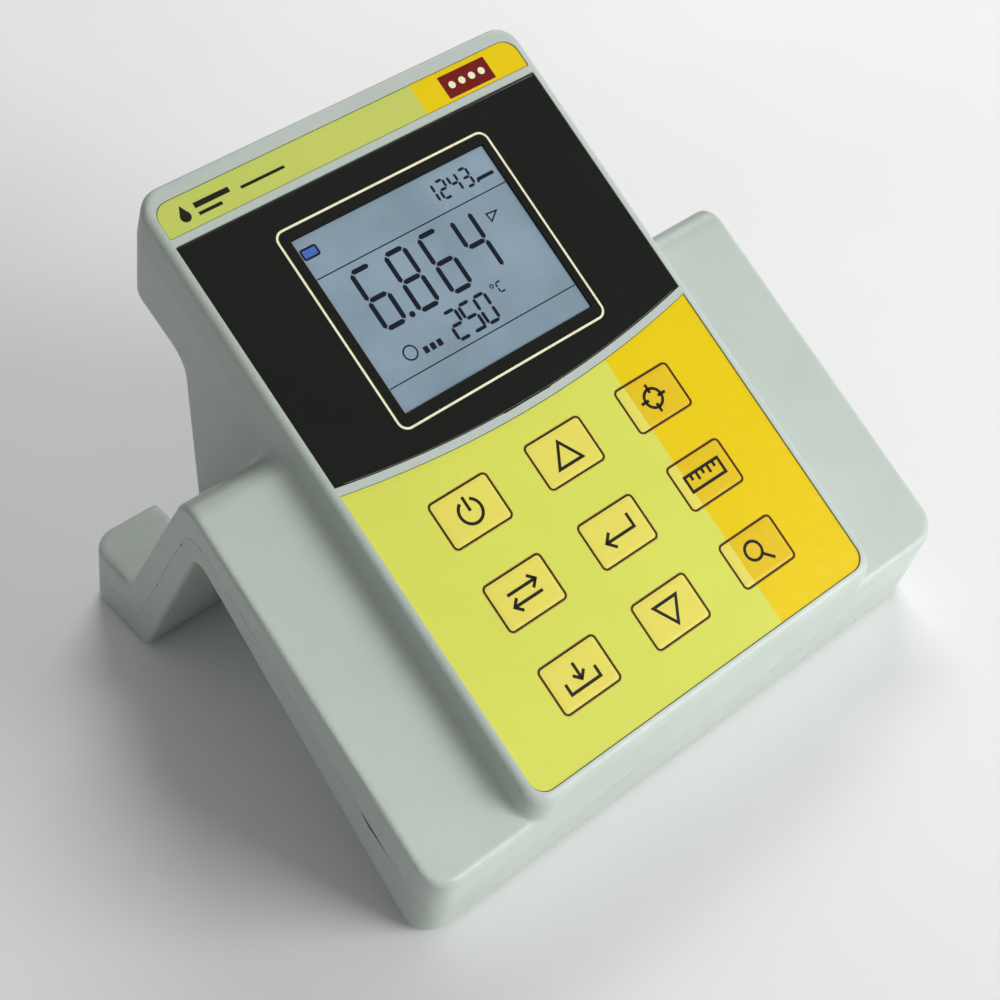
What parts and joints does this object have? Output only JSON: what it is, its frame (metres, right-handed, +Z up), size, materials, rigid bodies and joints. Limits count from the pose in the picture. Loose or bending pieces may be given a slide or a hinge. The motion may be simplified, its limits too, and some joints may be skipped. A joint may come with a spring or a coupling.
{
  "type": "benchtop ph meter",
  "caption": "Benchtop pH meter with a sloping display and membrane keypad on a hollow winged base, with sockets at the rear.",
  "frame": {"origin": "centre of the footprint, on the surface that the four rubber feet stand on", "axes": "+Z up, -Y towards the user, +X to the user's right; the case is mirror-symmetric about X = 0"},
  "size_m": [0.1822, 0.1622, 0.132],
  "materials": {
    "case_grey": "fine moulded satin grain",
    "case_base": "fine moulded satin grain",
    "film_lime": "printed polyester film, lime with a golden field",
    "film_key": "printed polyester film, semi-gloss",
    "window_black": "polished acrylic printed black behind",
    "lcd_blue": "liquid-crystal glass over a pale blue backlight",
    "diffuser": "frosted light guide",
    "board_green": "solder-masked circuit board",
    "spacer_clear": "translucent polyester",
    "black_plastic": "black moulded nylon",
    "rubber": "matt black rubber",
    "steel": "plated steel",
    "nickel": "bright nickel plate",
    "gold": "gold-plated contact",
    "ptfe": "white moulded insulator"
  },
  "bodies": {
    "case": {"upper_shell": "case_grey", "lower_shell": "case_base", "header_label": "film_lime", "display_window": "window_black", "keypad_overlay": "film_lime", "keypad_spacer": "spacer_clear", "keypad_circuit": "board_green", "lcd_glass": "lcd_blue", "lcd_backlight": "diffuser", "lcd_bracket": "black_plastic", "main_board": "board_green", "processor_chip": "black_plastic", "board_connector": "black_plastic", "keypad_ribbon": "spacer_clear", "connector_plate": "black_plastic", "bnc_socket": "nickel", "bnc_insulator": "ptfe", "bnc_contact": "gold", "bnc_nut": "nickel", "temperature_nut": "nickel", "temperature_socket": "nickel", "power_socket": "black_plastic", "power_pin": "nickel", "socket_board": "board_green", "front_left_foot": "rubber", "front_right_foot": "rubber", "rear_left_foot": "rubber", "rear_right_foot": "rubber", "case_screw_1": "steel", "case_screw_2": "steel", "case_screw_3": "steel", "case_screw_4": "steel", "dome_memory": "steel", "dome_down": "steel", "dome_read": "steel", "dome_mode": "steel", "dome_enter": "steel", "dome_unit": "steel", "dome_power": "steel", "dome_up": "steel", "dome_cal": "steel"},
    "memory_key": {"key_memory": "film_key"},
    "down_key": {"key_down": "film_key"},
    "read_key": {"key_read": "film_key"},
    "mode_key": {"key_mode": "film_key"},
    "enter_key": {"key_enter": "film_key"},
    "unit_key": {"key_unit": "film_key"},
    "power_key": {"key_power": "film_key"},
    "up_key": {"key_up": "film_key"},
    "cal_key": {"key_cal": "film_key"}
  },
  "joints": [
    {"name": "press_memory", "type": "slide", "parent": "case", "child": "memory_key", "axis": [0, 0.5344, -0.8453], "range_m": [0, 0.0005], "stiffness_N_per_m": 1500},
    {"name": "press_down", "type": "slide", "parent": "case", "child": "down_key", "axis": [0, 0.5344, -0.8453], "range_m": [0, 0.0005], "stiffness_N_per_m": 1500},
    {"name": "press_read", "type": "slide", "parent": "case", "child": "read_key", "axis": [0, 0.5344, -0.8453], "range_m": [0, 0.0005], "stiffness_N_per_m": 1500},
    {"name": "press_mode", "type": "slide", "parent": "case", "child": "mode_key", "axis": [0, 0.5344, -0.8453], "range_m": [0, 0.0005], "stiffness_N_per_m": 1500},
    {"name": "press_enter", "type": "slide", "parent": "case", "child": "enter_key", "axis": [0, 0.5344, -0.8453], "range_m": [0, 0.0005], "stiffness_N_per_m": 1500},
    {"name": "press_unit", "type": "slide", "parent": "case", "child": "unit_key", "axis": [0, 0.5344, -0.8453], "range_m": [0, 0.0005], "stiffness_N_per_m": 1500},
    {"name": "press_power", "type": "slide", "parent": "case", "child": "power_key", "axis": [0, 0.5344, -0.8453], "range_m": [0, 0.0005], "stiffness_N_per_m": 1500},
    {"name": "press_up", "type": "slide", "parent": "case", "child": "up_key", "axis": [0, 0.5344, -0.8453], "range_m": [0, 0.0005], "stiffness_N_per_m": 1500},
    {"name": "press_cal", "type": "slide", "parent": "case", "child": "cal_key", "axis": [0, 0.5344, -0.8453], "range_m": [0, 0.0005], "stiffness_N_per_m": 1500}
  ]
}
